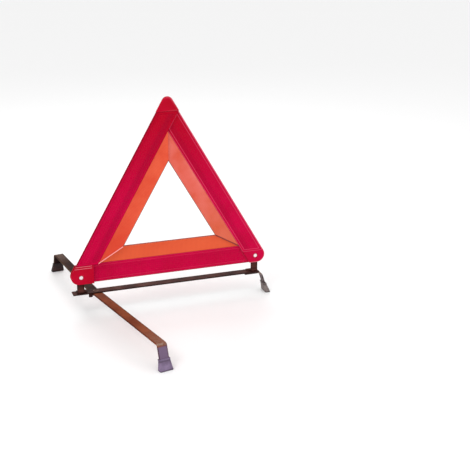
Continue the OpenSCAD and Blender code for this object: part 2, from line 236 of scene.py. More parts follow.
def addEdges(tree, color, crest, shade):
    # A point's value of wear and painted light: above nought it turns the colour to the crest's, a painted
    # highlight (on steel, the edges' painted light), below nought to the shade's, painted shade (on steel,
    # the real rubbed wear of the bends)
    wear = addNode(tree, "Attribute", {"attribute_name": "wear"}).outputs["Fac"]
    color = addMix(tree, addRamp(tree, wear), color, crest)
    return addMix(tree, addRamp(tree, addMath(tree, "MULTIPLY", wear, -1.0)), color, shade)


def finishMaterial(tree, place, color, finish, height=None):
    # The colour, a clouded roughness, a relief from the height given or else from the grain, and the
    # values of plain sockets
    shader = tree.nodes["Principled BSDF"]
    tree.links.new(color, shader.inputs["Base Color"])
    tree.links.new(addCloud(tree, place, **finish["rough"]), shader.inputs["Roughness"])
    if "relief" in finish:
        if height is None:
            height = addNoise(tree, place, **finish["grain"])
        depth, strength = finish["relief"]
        bump = addNode(tree, "Bump", Height=height, Distance=depth, Strength=strength)
        tree.links.new(bump.outputs["Normal"], shader.inputs["Normal"])
    for name, value in finish["sockets"].items():
        shader.inputs[name].default_value = value


lensFinish = {
    "deep": (0.42, 0.001, 0.026),
    "bright": (0.62, 0.001, 0.060),
    "patches": {"scale": 14, "limits": (0.3, 0.7)},
    "patchShare": 0.45,
    "prismSize": 2.2 * mm,
    "prismUneven": 0.12,
    "prismShare": 0.55,
    "high": (0.43, 0.001, 0.012),
    "highFrom": 260 * mm,
    "highTo": 470 * mm,
    "highShare": 0.85,
    # The crest colour is a painted highlight; the shade colour is painted shade
    "crest": (0.86, 0.10, 0.22),
    "shade": (0.22, 0.001, 0.022),
    "rough": {"scale": 60, "limits": (0.2, 0.8), "span": (0.22, 0.34)},
    "relief": (0.10 * mm, 0.35),
    "sockets": {"Specular IOR Level": 0.03, "Coat Weight": 0.02, "Coat Roughness": 0.12},
}


def crimsonLens(name):
    # Crimson that wavers in patches and from prism to prism, deeper up high, with painted highlights and
    # painted shade on the border's beads and painted shade in the grooves between prisms
    finish = lensFinish
    material, tree, place = startMaterial(name)
    cells = {"feature": "F1", "distance": "MANHATTAN"}
    prisms = addNode(tree, "TexVoronoi", cells, Vector=place, Scale=1 / finish["prismSize"],
                     Randomness=finish["prismUneven"]).outputs["Distance"]
    patches = addMath(tree, "MULTIPLY", addCloud(tree, place, **finish["patches"]), finish["patchShare"])
    share = addMath(tree, "ADD", patches, addMath(tree, "MULTIPLY", prisms, finish["prismShare"]))
    color = addMix(tree, share, finish["deep"], finish["bright"])
    high = addMath(tree, "MULTIPLY", addHeight(tree, place, finish["highFrom"], finish["highTo"]),
                   finish["highShare"])
    color = addMix(tree, high, color, finish["high"])
    color = addEdges(tree, color, finish["crest"], finish["shade"])
    finishMaterial(tree, place, color, finish, prisms)
    return material


plasticFinish = {
    "deep": (0.38, 0.001, 0.010),
    "bright": (0.54, 0.001, 0.030),
    "flow": {"scale": 9, "detail": 3, "stretch": (1, 1, 2.5), "limits": (0.3, 0.75)},
    # The crest colour is a painted highlight; the shade colour is painted shade
    "crest": (0.92, 0.26, 0.34),
    "shade": (0.13, 0.002, 0.016),
    "rough": {"scale": 45, "limits": (0.25, 0.75), "span": (0.25, 0.42)},
    "grain": {"scale": 900, "detail": 2},
    "relief": (0.03 * mm, 0.25),
    "sockets": {"Specular IOR Level": 0.05},
}


def crimsonPlastic(name):
    # Moulded crimson with faint flow marks and a fine grain, with painted highlights and painted shade along
    # its edges
    finish = plasticFinish
    material, tree, place = startMaterial(name)
    color = addMix(tree, addCloud(tree, place, **finish["flow"]), finish["deep"], finish["bright"])
    color = addEdges(tree, color, finish["crest"], finish["shade"])
    finishMaterial(tree, place, color, finish)
    return material


orangeFinish = {
    left: {"deep": (0.66, 0.060, 0.024), "bright": (0.79, 0.125, 0.055), "low": (0.66, 0.050, 0.022)},
    base: {"deep": (0.65, 0.065, 0.020), "bright": (0.78, 0.135, 0.045), "low": (0.72, 0.105, 0.036)},
    right: {"deep": (0.66, 0.095, 0.055), "bright": (0.80, 0.20, 0.17), "low": (0.62, 0.125, 0.050)},
    "clouds": {"scale": 17, "detail": 3, "limits": (0.32, 0.72)},
    "valley": (0.46, 0.045, 0.03),
    "lowFrom": 290 * mm,
    "lowTo": 150 * mm,
    "lowShare": 0.8,
    "rough": {"scale": 80, "limits": (0.2, 0.8), "span": (0.36, 0.52)},
    "grain": {"scale": 700, "detail": 2},
    "relief": (0.03 * mm, 0.25),
    "sockets": {"Specular IOR Level": 0.1, "Emission Strength": 0.08},
}


def glowOrange(side):
    # Fluorescent orange: a cloudy tone, plainer towards the base, with painted shade in the ribs' valleys
    # and a little light of its own
    finish, tones = orangeFinish, orangeFinish[side]
    material, tree, place = startMaterial(sideNames[side] + "_orange")
    color = addMix(tree, addCloud(tree, place, **finish["clouds"]), tones["deep"], tones["bright"])
    low = addMath(tree, "MULTIPLY", addHeight(tree, place, finish["lowFrom"], finish["lowTo"]),
                  finish["lowShare"])
    color = addMix(tree, low, color, tones["low"])
    color = addEdges(tree, color, tones["bright"], finish["valley"])
    tree.links.new(color, tree.nodes["Principled BSDF"].inputs["Emission Color"])
    finishMaterial(tree, place, color, finish)
    return material


# Each piece's tones are set for how light falls on it: the rear leg's are darker as painted shade, each low
# tint is a painted reflection near the ground, and each edge tone is painted light, shade on most pieces and
# a highlight on the rear leg
steelFinish = {
    "bar": {
        "dark": (0.024, 0.007, 0.005), "light": (0.105, 0.036, 0.028),
        "low": (0.08, 0.045, 0.05), "edge": (0.016, 0.006, 0.005),
    },
    "frontLeg": {
        "dark": (0.14, 0.030, 0.012), "light": (0.27, 0.075, 0.030),
        "low": (0.17, 0.115, 0.19), "edge": (0.045, 0.012, 0.008),
    },
    "rearLeg": {
        "dark": (0.014, 0.004, 0.002), "light": (0.045, 0.013, 0.006),
        "low": (0.014, 0.005, 0.005), "edge": (0.085, 0.045, 0.020),
    },
    "rightLeg": {
        "dark": (0.05, 0.032, 0.030), "light": (0.14, 0.10, 0.095),
        "low": (0.15, 0.11, 0.115), "edge": (0.022, 0.012, 0.010),
    },
    "streaks": {"scale": 55, "detail": 5, "stretch": (0.5, 0.5, 2), "limits": (0.28, 0.74)},
    "lowFrom": 52.5 * mm,
    "lowTo": 48.5 * mm,
    "rubbed": (0.34, 0.24, 0.19),
    "chips": {"scale": 260, "detail": 6, "limits": (0.36, 0.60), "span": (0.25, 1.0)},
    "rough": {"scale": 120, "detail": 5, "limits": (0.25, 0.75), "span": (0.46, 0.66)},
    "grain": {"scale": 500, "detail": 5, "stretch": (1, 1, 2)},
    "relief": (0.05 * mm, 0.5),
    "sockets": {"Metallic": 0.08, "Specular IOR Level": 0.05},
}


def bronzedSteel(name):
    # Bronzed steel: streaks, a painted reflection as another tint towards the ground, painted light along
    # the edges, and rubbed bends
    finish, tones = steelFinish, steelFinish[name]
    material, tree, place = startMaterial(name + "Steel")
    color = addMix(tree, addCloud(tree, place, **finish["streaks"]), tones["dark"], tones["light"])
    color = addMix(tree, addHeight(tree, place, finish["lowFrom"], finish["lowTo"]), color, tones["low"])
    rubbed = addMix(tree, addCloud(tree, place, **finish["chips"]), color, finish["rubbed"])
    color = addEdges(tree, color, tones["edge"], rubbed)
    finishMaterial(tree, place, color, finish)
    return material


zincFinish = {
    "bright": (0.95, 0.84, 0.86),
    "dull": (0.78, 0.64, 0.67),
    # the rim colour is painted shade round a head's rim
    "rim": (0.55, 0.30, 0.34),
    "clouds": {"scale": 300, "detail": 3, "limits": (0.3, 0.6)},
    "rough": {"scale": 500, "limits": (0.3, 0.7), "span": (0.22, 0.4)},
    "grain": {"scale": 1800, "detail": 3, "stretch": (1, 1, 4)},
    "relief": (0.02 * mm, 0.3),
    "sockets": {"Metallic": 0.35, "Specular IOR Level": 0.5},
}


def brightZinc(name):
    # Bright zinc with a cloudy, finely scratched face and painted shade round its rim
    finish = zincFinish
    material, tree, place = startMaterial(name)
    color = addMix(tree, addCloud(tree, place, **finish["clouds"]), finish["dull"], finish["bright"])
    color = addEdges(tree, color, finish["bright"], finish["rim"])
    finishMaterial(tree, place, color, finish)
    return material


# Tones per shoe stand in for light: the rear shoe's are darker as painted shade, and each edge tone is
# painted shade round the sole and under the collar
rubberFinish = {
    "front": {"dark": (0.105, 0.070, 0.125), "dusty": (0.25, 0.18, 0.30), "edge": (0.05, 0.03, 0.055)},
    "rear": {"dark": (0.012, 0.004, 0.004), "dusty": (0.040, 0.015, 0.013), "edge": (0.006, 0.003, 0.003)},
    "right": {"dark": (0.10, 0.075, 0.072), "dusty": (0.26, 0.21, 0.20), "edge": (0.025, 0.016, 0.015)},
    "dust": {"scale": 70, "detail": 5, "limits": (0.3, 0.75)},
    "pebbleScale": 1100,
    "rough": {"scale": 150, "limits": (0.3, 0.7), "span": (0.58, 0.78)},
    "relief": (0.04 * mm, 0.3),
    "sockets": {"Specular IOR Level": 0.3},
}


def shoeRubber(name):
    # Matt rubber, dusty in patches, with a pebbled skin, painted shade at the sole and under the collar, and
    # darker tones for the rear shoe as painted shade
    finish, tones = rubberFinish, rubberFinish[name]
    material, tree, place = startMaterial(name + "Rubber")
    color = addMix(tree, addCloud(tree, place, **finish["dust"]), tones["dark"], tones["dusty"])
    color = addEdges(tree, color, tones["dusty"], tones["edge"])
    pebbles = addNode(tree, "TexVoronoi", Vector=place, Scale=finish["pebbleScale"]).outputs["Distance"]
    finishMaterial(tree, place, color, finish, pebbles)
    return material


lipFinish = {
    "paleLip": ((0.90, 0.30, 0.30), (0.98, 0.55, 0.50)),
    "darkLip": ((0.12, 0.006, 0.010), (0.22, 0.012, 0.018)),
    "brownLip": ((0.17, 0.055, 0.040), (0.34, 0.13, 0.10)),
    "waver": {"scale": 40, "detail": 3, "limits": (0.3, 0.7)},
    "rough": {"scale": 90, "limits": (0.3, 0.7), "span": (0.25, 0.4)},
    "sockets": {"Specular IOR Level": 0.4},
}


def lipPlastic(name):
    # The moulded edge of an arm: a tone that wavers along its length; the pale lip is a painted highlight on
    # the left arm's mitre, the dark lip painted shade on the right arm's
    material, tree, place = startMaterial(name)
    color = addMix(tree, addCloud(tree, place, **lipFinish["waver"]), *lipFinish[name])
    finishMaterial(tree, place, color, lipFinish)
    return material


finishes = {
    "lens": crimsonLens("crimsonLens"),
    "plastic": crimsonPlastic("crimsonPlastic"),
    "zinc": brightZinc("brightZinc"),
}
glowFinishes = {side: glowOrange(side) for side in sideNames}
finishes.update({name: bronzedSteel(name) for name in ("bar", "frontLeg", "rearLeg", "rightLeg")})
finishes.update({name + "Shoe": shoeRubber(name) for name in ("front", "rear", "right")})
finishes.update({name: lipPlastic(name) for name in ("paleLip", "darkLip", "brownLip")})
print("materials ready")


# Surfaces

def stack(loops, ring=False, wear=0.0):
    # A skin over a row of closed loops: point j of loop i joins points j and j + 1 of loop i + 1.
    # The ends are flat caps, or the last loop joins the first.
    rows, size = loops.shape[:2]
    row, place = np.meshgrid(np.arange(rows if ring else rows - 1), np.arange(size), indexing="ij")
    here, onward, after = row * size, (row + 1) % rows * size, (place + 1) % size
    corners = np.stack([here + place, here + after, onward + after, onward + place], -1)
    faces = corners.reshape(-1, 4).tolist()
    if not ring:
        faces += [list(range(size)), list(range((rows - 1) * size, rows * size))]
    return loops.reshape(-1, 3), faces, np.broadcast_to(wear, (rows, size)).ravel()


smallest = 0.003 * mm          # points nearer than this are merged
lineDigits = 7                 # decimals of a metre that tell two lines across a plate apart
sharpFrom = math.radians(38)   # edges that turn more than this stay sharp


def addPiece(name, shells, material, body, slot, *replaced):
    # One object from closed shells, each merged and turned outwards
    whole = bmesh.new()
    for points, faces, wear in shells:
        part = bpy.data.meshes.new(name)
        part.from_pydata(points.tolist(), [], faces)
        part.attributes.new("wear", "FLOAT", "POINT").data.foreach_set("value", wear.astype(np.float32))
        shell = bmesh.new()
        shell.from_mesh(part)
        bmesh.ops.remove_doubles(shell, verts=shell.verts, dist=smallest)
        bmesh.ops.dissolve_degenerate(shell, edges=shell.edges, dist=smallest)
        bmesh.ops.recalc_face_normals(shell, faces=shell.faces)
        shell.to_mesh(part)
        shell.free()
        whole.from_mesh(part)
        bpy.data.meshes.remove(part)
    mesh = bpy.data.meshes.new(name)
    whole.to_mesh(mesh)
    whole.free()
    mesh.polygons.foreach_set("use_smooth", np.ones(len(mesh.polygons), bool))
    mesh.set_sharp_from_angle(angle=sharpFrom)
    mesh.materials.append(material)
    piece = bpy.data.objects.new(name, mesh)
    bpy.context.scene.collection.objects.link(piece)
    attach(piece, body)
    if replaced:
        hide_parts(*replaced)


def onSide(side, along, inward, back):
    # A side's plan turned by thirds of a turn about the triangle's middle:
    # x = along cos a - (inward - mid) sin a, z = mid + along sin a + (inward - mid) cos a
    angle = math.radians(120 * side)
    along, inward, back = np.broadcast_arrays(along, inward - midHeight, back)
    x = along * math.cos(angle) - inward * math.sin(angle)
    z = midHeight + along * math.sin(angle) + inward * math.cos(angle)
    return np.stack([centreX + x, back, baseZ + z], -1)


def arc(middle, radius, start, stop, steps=10):
    # Points at middle + radius (cos a, sin a), for a from one angle to another in degrees
    angle = np.radians(np.linspace(start, stop, steps))
    return np.stack([middle[0] + radius * np.cos(angle), middle[1] + radius * np.sin(angle)], -1)


def leftOf(edge):
    # The unit normal to the left of each edge
    return np.stack([-edge[:, 1], edge[:, 0]], -1) / np.linalg.norm(edge, axis=1)[:, None]


def inset(outline, depth):
    # Every edge of an outline moved inwards: a corner moves by depth (n1 + n2) / (1 + n1 . n2)
    normal = leftOf(np.roll(outline, -1, 0) - outline)
    before = np.roll(normal, 1, 0)
    return outline + depth * (normal + before) / (1 + (normal * before).sum(1))[:, None]


def evenly(outline, count):
    # The same outline with more points at equal steps of its length, its own corners among them
    closed = np.vstack([outline, outline[:1]])
    length = np.append(0, np.cumsum(np.linalg.norm(np.diff(closed, axis=0), axis=1)))
    marks = np.unique(np.append(length, np.linspace(0, length[-1], count)))[:-1]
    return np.stack([np.interp(marks, length, closed[:, 0]), np.interp(marks, length, closed[:, 1])], -1)


def profiled(side, outline, profile, ring=False, wear=0.0):
    # A profile of (distance inwards, place back) carried round an outline
    loops = [onSide(side, *inset(outline, depth).T, back) for depth, back in profile]
    return stack(np.array(loops), ring, wear)


def chainsOf(outline):
    # The lower and the upper boundary of an outline, each from its first to its last place along the side
    along, inward = outline.T
    lowFirst, lowLast = np.lexsort((inward, along))[0], np.lexsort((inward, -along))[0]
    highFirst, highLast = np.lexsort((-inward, along))[0], np.lexsort((-inward, -along))[0]
    lowCount, highCount = (lowLast - lowFirst) % len(outline), (highFirst - highLast) % len(outline)
    low = np.roll(outline, -lowFirst, 0)[:lowCount + 1]
    high = np.roll(outline, -highLast, 0)[:highCount + 1]
    return low, high[::-1]


def flatAt(depth):
    return lambda along, inward: depth + 0 * along


def slab(side, outline, alongLines, inwardLines, front, back, edge=0.3 * mm, tone=flatAt(0)):
    # A plate between an outline's boundaries. At each line along the side, a section runs in across the
    # front and out across the back, at the depths that front(along, inward) and back(...) give, with the
    # outermost points set in by the edge; tone(along, inward) gives the value stored on the front, which
    # below nought darkens it, as painted shade in the lens's and the strip's grooves.
    low, high = chainsOf(outline)
    start, stop = outline[:, 0].min(), outline[:, 0].max()
    lines = np.concatenate([alongLines, outline[:, 0], [start + edge, stop - edge]])
    along = np.unique(np.round(np.clip(lines, start, stop), lineDigits))
    lowAt, highAt = np.interp(along, *low.T)[:, None], np.interp(along, *high.T)[:, None]
    middle = (lowAt + highAt) / 2
    inner = np.clip(inwardLines, np.minimum(lowAt + edge, middle), np.maximum(highAt - edge, middle))
    inward = np.hstack([lowAt, inner, highAt])
    cut = np.zeros_like(inward)
    cut[:, [0, -1]] = edge
    cut[[0, -1], :] = edge
    along = along[:, None] + np.zeros_like(inward)
    frontAt, backAt = front(along, inward) + cut, back(along, inward) - cut
    loops = onSide(side, np.hstack([along, along[:, ::-1]]), np.hstack([inward, inward[:, ::-1]]),
                   np.hstack([frontAt, backAt[:, ::-1]]))
    wear = tone(along, inward)
    return stack(loops, wear=np.hstack([wear, 0 * wear]))


def beadFront(start, width, front, soft):
    # The front of a bead's section: up over one rounded edge, across and down over the other
    rise = [(0, soft), (soft * shoulder, soft * shoulder), (soft, 0)]
    near = [(start + across, front + drop) for across, drop in rise]
    return near + [(start + width - across, front + drop) for across, drop in rise[::-1]]


def beadAlong(side, path, width, front, back, soft, crest=0.0):
    # A bead to the left of a path in a side's plan: each point of its section runs at
    # path + normal times its distance across, at its own place back
    normal = leftOf(np.gradient(path, axis=0))
    section = [(0, back), *beadFront(0, width, front, soft), (width, back)]
    loops = [onSide(side, *(path + normal * across).T, place) for across, place in section]
    return stack(np.array(loops).transpose(1, 0, 2), wear=crest)


def roundedSection(wide, thick, radius, steps):
    # A rectangle with rounded corners: (half - r) + r cos t across and (half - r) + r sin t up, for t
    # through a quarter turn at each corner
    quarter = np.repeat(np.arange(4), steps)
    angle = quarter * math.pi / 2 + np.tile(np.linspace(0, math.pi / 2, steps), 4)
    signAcross, signUp = np.array([1, -1, -1, 1])[quarter], np.array([1, 1, -1, -1])[quarter]
    across = signAcross * (wide - radius) + radius * np.cos(angle)
    return across, signUp * (thick - radius) + radius * np.sin(angle)


def turned(profile, middle, axis, ring=False, wear=0.0, segments=40):
    # A profile of (place along the axis, radius) turned about the axis:
    # middle + place times axis + radius (cos a times first + sin a times second), both square to it
    axis = np.array(axis, float)
    first = np.cross(axis, [0.3, 0.5, 0.8])   # any direction that isn't along the axis will do
    first /= np.linalg.norm(first)
    angle = np.linspace(0, 2 * math.pi, segments, endpoint=False)[None, :, None]
    circle = np.cos(angle) * first + np.sin(angle) * np.cross(axis, first)
    place, radius = np.array(profile).T[:, :, None, None]
    return stack(middle + place * axis + radius * circle, ring, wear)


# Outlines in a side's own plan: along the side, and inwards from its outer edge

def mitreAt(inward):
    # The place along a side where the mitre at its start crosses a line
    return -halfSide + inward * root3


def slantAt(inward):
    # The place along a side where the outer edge of the side before it crosses a line
    return -halfSide + inward / root3


def endAt(distance, inward):
    # The place along a side where a line is this far from the outer edge of the next side
    return halfSide - (distance + inward / 2) / sin60


def capEdgeAt(inward, drop=0.0):
    # The place along the left side that is level with the cap's lower edge, or under it by a drop
    return (2 * (1.5 * midHeight - capHeight + drop) - inward) / root3


def lapsOf(side, lap):
    # How far a side's start and end run on: the base at both ends, the right arm at its tip
    return (lap if side == base else 0), (0 if side == left else lap)


def mirrored(outline):
    # The same outline the other way along the side, still counter-clockwise
    return outline[::-1] * [-1, 1]


def startCorner(grow=0.0):
    # The rounded corner at the start of a side, from its slanting edge down to the outer edge
    radius = triangle["lowerRound"]
    return arc((-halfSide + radius * root3, radius), radius - grow, 150, 270)


def housingOutline(side):
    lap = triangle["lap"]
    cornerTop = (slantAt(red), red)
    mitreLow, mitreHigh = mitreAt(red), mitreAt(armWide)
    if side == base:
        mitre = [(mitreHigh - 2 * lap, armWide), (mitreLow - 2 * lap, red)]
        half = np.vstack([*mitre, cornerTop, startCorner()])
        return np.vstack([half, mirrored(half)])
    if side == left:
        return np.array([
            (capEdgeAt(0), 0), (endAt(red, 0), 0), (-mitreLow, red), (-mitreHigh, armWide),
            (mitreHigh, armWide), (mitreLow, red), cornerTop,
        ])
    # The tip is cut along the left side's outer edge, in to the mitre, which is moved out by two laps
    tip, reach = triangle["rightTipCut"], lens["eyeReach"]
    tipAlong = (2 * halfSide * sin60 - 2 * tip - (halfSide + 2 * lap) / root3) / (2 * sin60 - 1 / root3)
    tipInward = (halfSide + 2 * lap - tipAlong) / root3
    return np.array([
        (-endAt(reach, 0), 0), (endAt(tip, 0), 0), (tipAlong, tipInward), (-mitreHigh + 2 * lap, armWide),
        (mitreHigh, armWide), (mitreLow, red), (-endAt(reach, red), red),
    ])


def lensOutline(side):
    low, high, seam, lap = lensInset, red - triangle["seam"], triangle["seam"], triangle["lap"]
    if side == left:
        lowStart, highStart, end = capEdgeAt(low, seam), capEdgeAt(high, seam), red + seam
    else:
        end = red - lap / 2
        lowStart, highStart = (-endAt(lens["eyeReach"], inward) for inward in (low, high))
    if side == base:
        lowStart = highStart = cornerPlateEdge - lap
    return np.array([(lowStart, low), (endAt(end, low), low), (endAt(end, high), high), (highStart, high)])


def stripOutline(side):
    low, high = red + triangle["seam"], armWide - triangle["innerEdge"]
    startLap, endLap = lapsOf(side, triangle["lap"])
    return np.array([
        (mitreAt(low) - startLap, low), (-mitreAt(low) + endLap, low),
        (-mitreAt(high) + endLap, high), (mitreAt(high) - startLap, high),
    ])


# Arms: back plates

eye = {
    "sunkRing": 6.0 * mm,
    "hole": 3.1 * mm,
    "rounding": 0.5 * mm,
    "lensSunk": 0.05 * mm,
    "flatSunk": 0.6 * mm,
    "points": 96,
}


def eyePlate(outline, pivot, front, floor, back, soft):
    # A plate with a sunk ring round its rivet: loops that shrink from the outline to the rivet's hole.
    # A round loop's point is at the pivot plus its radius times the unit way to the outline's point.
    middle = np.array([pivot[0] - centreX, pivot[2] - baseZ])
    ray = outline - middle
    ray /= np.linalg.norm(ray, axis=1)[:, None]
    sunk, hole = eye["sunkRing"], eye["hole"]
    edgeRows = [
        (soft, back), (0, back - soft), (0, front + soft), (soft * shoulder, front + soft * shoulder),
        (soft, front), (soft * 2, front),
    ]
    roundRows = [
        (sunk + soft * 2, front), (sunk + soft, front), (sunk, front + soft), (sunk, floor), (hole, floor),
        (hole, back),
    ]
    loops = [onSide(base, *inset(outline, depth).T, place) for depth, place in edgeRows]
    loops += [onSide(base, *(middle + ray * radius).T, place) for radius, place in roundRows]
    return stack(np.array(loops), ring=True)


def leftCornerOutline():
    # The plate at the left arm's foot, in the base's plan
    corner = np.vstack([startCorner(), (cornerPlateEdge, 0), (cornerPlateEdge, red), (slantAt(red), red)])
    return evenly(corner, eye["points"])


def rightFootOutline(low, edge, reach):
    # The right arm's foot in the base's plan, inset from its outer edges, as wide and as high as given
    top = [(endAt(low, reach), reach), (endAt(edge, reach), reach)]
    return evenly(np.vstack([(endAt(edge, low), low), mirrored(startCorner(low)), *top]), eye["points"])


cornerBeads = {
    "below": (1.2 * mm, 6.4 * mm),
    "short": 4 * mm,
    "width": 1.5 * mm,
    "height": 0.6 * mm,
    "soft": 0.25 * mm,
    "crest": 0.5,
}


def cornerBead(below):
    # A bead across the corner plate, this far below its upper edge, with a painted highlight on its crest
    width, height = cornerBeads["width"], cornerBeads["height"]
    inward = red - below - width
    start = slantAt(inward) + width
    path = np.array([(start, inward), (start / 2 + cornerPlateEdge / 2, inward),
                     (cornerPlateEdge - cornerBeads["short"], inward)])
    front = armFront[left]
    return beadAlong(base, path, width, front, front + 2 * height, cornerBeads["soft"], cornerBeads["crest"])


pockets = {
    "depth": 1.2 * mm,
    "rib": 2.6 * mm,
    "wall": 0.5 * mm,
    "rows": (
        {"from": 6 * mm, "to": 42 * mm, "span": 165 * mm, "count": 7},
        {"from": 51 * mm, "to": 79 * mm, "span": 104 * mm, "count": 5},
    ),
}


def pocketEdges(row):
    # Starts and stops of a row's pockets along the side
    step = 2 * row["span"] / row["count"]
    starts = -row["span"] + step * np.arange(row["count"]) + pockets["rib"] / 2
    return starts, starts + step - pockets["rib"]


def pocketDepth(along, inward):
    # The pockets' depth at a place: the way inside a pocket's nearest edge over the wall's width, at most
    # one, times the full depth
    depth = np.zeros_like(along)
    for row in pockets["rows"]:
        for start, stop in zip(*pocketEdges(row)):
            inside = np.minimum(np.minimum(along - start, stop - along),
                                np.minimum(inward - row["from"], row["to"] - inward))
            depth = np.maximum(depth, np.clip(inside / pockets["wall"], 0, 1) * pockets["depth"])
    return depth


def housingPlate(side):
    # A flat front, and a back that is lowered by the pockets' depth, with lines at the walls' edges
    rows, wall = pockets["rows"], pockets["wall"]
    alongLines = np.concatenate([np.concatenate(pocketEdges(row)) for row in rows])
    inwardLines = np.array([row[key] for row in rows for key in ("from", "to")])
    alongLines = np.concatenate([alongLines, alongLines + wall, alongLines - wall])
    inwardLines = np.sort(np.concatenate([inwardLines, inwardLines + wall, inwardLines - wall]))
    return slab(side, housingOutline(side), alongLines, inwardLines, flatAt(plateFront[side]),
                lambda along, inward: armBack[side] - pocketDepth(along, inward))


# The rim's crest is painted light: a painted highlight on the right arm, painted shade on the left arm and
# the base
rimBead = {"soft": 0.45 * mm, "crest": {left: -0.6, base: -0.25, right: 0.55}}


def rimPath(side):
    # The outer edge that the rim runs along, from its start to its end
    lap = triangle["lap"]
    if side == base:
        return np.array([(cornerPlateEdge - lap, 0), (0, 0), (endAt(red - lap, 0), 0)])
    if side == left:
        return np.array([(capEdgeAt(0), 0), (0, 0), (endAt(red, 0), 0)])
    return np.vstack([(slantAt(red), red), startCorner(), (0, 0), (endAt(red - lap / 2, 0), 0)])


def rimOf(side):
    soft, crest = rimBead["soft"], rimBead["crest"][side]
    front, back = armFront[side], plateFront[side] + soft
    return beadAlong(side, rimPath(side), triangle["rim"], front, back, soft, crest)


innerLip = {"height": 0.7 * mm, "soft": 0.25 * mm}
mitreLip = {"width": 2.2 * mm, "height": 1.7 * mm, "soft": 0.5 * mm, "short": 0.2 * mm}


def innerLipOf(side):
    # The bare edge of the plate round the opening
    inward, front = armWide - triangle["innerEdge"], plateFront[side]
    startLap, endLap = lapsOf(side, 2 * triangle["lap"])
    start, stop = mitreAt(armWide) - startLap, -mitreAt(armWide) + endLap
    path = np.array([(start, inward), (0, inward), (stop, inward)])
    return beadAlong(side, path, triangle["innerEdge"], front - innerLip["height"], front, innerLip["soft"])


def mitreLipOf(side, atEnd):
    # The raised lip on the mitred end of an arm, from the red band in to the opening, which carries a
    # painted highlight line on the left arm and a painted shade line on the right arm
    inward = np.array([red, (red + armWide) / 2, armWide - mitreLip["short"]])
    path = np.stack([mitreAt(inward), inward], -1)
    path = path * [-1, 1] if atEnd else path[::-1]
    front = plateFront[side]
    return beadAlong(side, path, mitreLip["width"], front - mitreLip["height"], front, mitreLip["soft"])


# Arms: lenses and fluorescent strips

lens = {
    "bead": 1.8 * mm,
    "groove": 3.2 * mm,
    "grooveDepth": 0.8 * mm,
    "rounding": 0.3 * mm,
    # painted light on the beads' crests: above nought a painted highlight, below nought painted shade
    "crest": {left: -0.5, base: 0.3, right: 0.8},
    "cell": 5.2 * mm,
    "cellGroove": 0.35 * mm,
    "cellDepth": 0.16 * mm,
    "cellTone": 0.35,
    "bandFrom": 25 * mm,
    "bandTo": 30 * mm,
    "bandTone": {left: 0.28, base: 0.08, right: 0.22},
    "fieldDrop": 0.30 * mm,
    "fieldLap": 0.1 * mm,
    "eyeReach": 31 * mm,
}


def lensFrame(side, outline):
    # Two beads with a groove between them, round the whole lens, and how far in they reach. The beads'
    # crests carry painted light: a painted highlight on the right arm and the base, painted shade on the
    # left arm
    front, back = armFront[side], plateFront[side]
    bead, soft, low = lens["bead"], lens["rounding"], armFront[side] + lens["grooveDepth"]
    second = bead + lens["groove"]
    profile = [
        (0, back), *beadFront(0, bead, front, soft), (bead + soft, low),
        (second - soft, low), *beadFront(second, bead, front, soft), (second + bead, back),
    ]
    crest = np.zeros((len(profile), 1))
    crest[[3, 11]] = lens["crest"][side]   # where the outer edge of each bead reaches its top
    return profiled(side, outline, profile, ring=True, wear=crest), second + bead


def cellLines(start, stop):
    # Lines on both sides of each groove and at its bottom
    pitch, groove = lens["cell"], lens["cellGroove"]
    middles = np.arange(math.ceil(start / pitch), math.floor(stop / pitch) + 1) * pitch
    return np.sort(np.concatenate([middles - groove, middles, middles + groove]))


def lensField(side, outline):
    # Square pillows: the face drops to the bottom of a groove on every line of the grid, by the depth
    # times (1 - distance / groove); the grooves get painted shade, and the tone darkens over a band along
    # the inner side
    pitch, front = lens["cell"], armFront[side] + lens["fieldDrop"]

    def dropAt(along, inward):
        away = [np.abs(place - np.round(place / pitch) * pitch) for place in (along, inward)]
        return 1 - np.clip(np.minimum(*away) / lens["cellGroove"], 0, 1)

    def face(along, inward):
        return front + lens["cellDepth"] * dropAt(along, inward)

    def tone(along, inward):
        band = np.clip((inward - lens["bandFrom"]) / (lens["bandTo"] - lens["bandFrom"]), 0, 1)
        return -lens["cellTone"] * dropAt(along, inward) - lens["bandTone"][side] * band

    (startAlong, startInward), (stopAlong, stopInward) = outline.min(0), outline.max(0)
    return slab(side, outline, cellLines(startAlong, stopAlong), cellLines(startInward, stopInward), face,
                flatAt(plateFront[side]), lens["fieldLap"], tone)


ribs = {
    "pitch": 3.2 * mm,
    "height": 0.35 * mm,
    "samples": 6,
    "plainEdge": 1.0 * mm,
    "rounding": 0.2 * mm,
    "valleyTone": 0.35,
}


def ribbedStrip(side):
    # Ribs across the strip: the face is lowered by h (1 - cos(2 pi along / pitch)) / 2, which fades to
    # nought towards its plain edges, and the valleys get painted shade
    outline = stripOutline(side)
    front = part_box(sideNames[side] + "_fluorescent_strip")[0].y
    low, high = outline[:, 1].min(), outline[:, 1].max()
    plain, half = ribs["plainEdge"], ribs["plainEdge"] / 2

    def dropAt(along, inward):
        wave = (1 - np.cos(2 * math.pi * along / ribs["pitch"])) / 2
        return wave * np.clip((np.minimum(inward - low, high - inward) - half) / half, 0, 1)

    lines = np.arange(outline[:, 0].min(), outline[:, 0].max(), ribs["pitch"] / ribs["samples"])
    across = np.array([low + half, low + plain, (low + high) / 2, high - plain, high - half])
    return slab(side, outline, lines, across,
                lambda along, inward: front + ribs["height"] * dropAt(along, inward),
                flatAt(plateFront[side]), ribs["rounding"],
                lambda along, inward: -ribs["valleyTone"] * dropAt(along, inward))


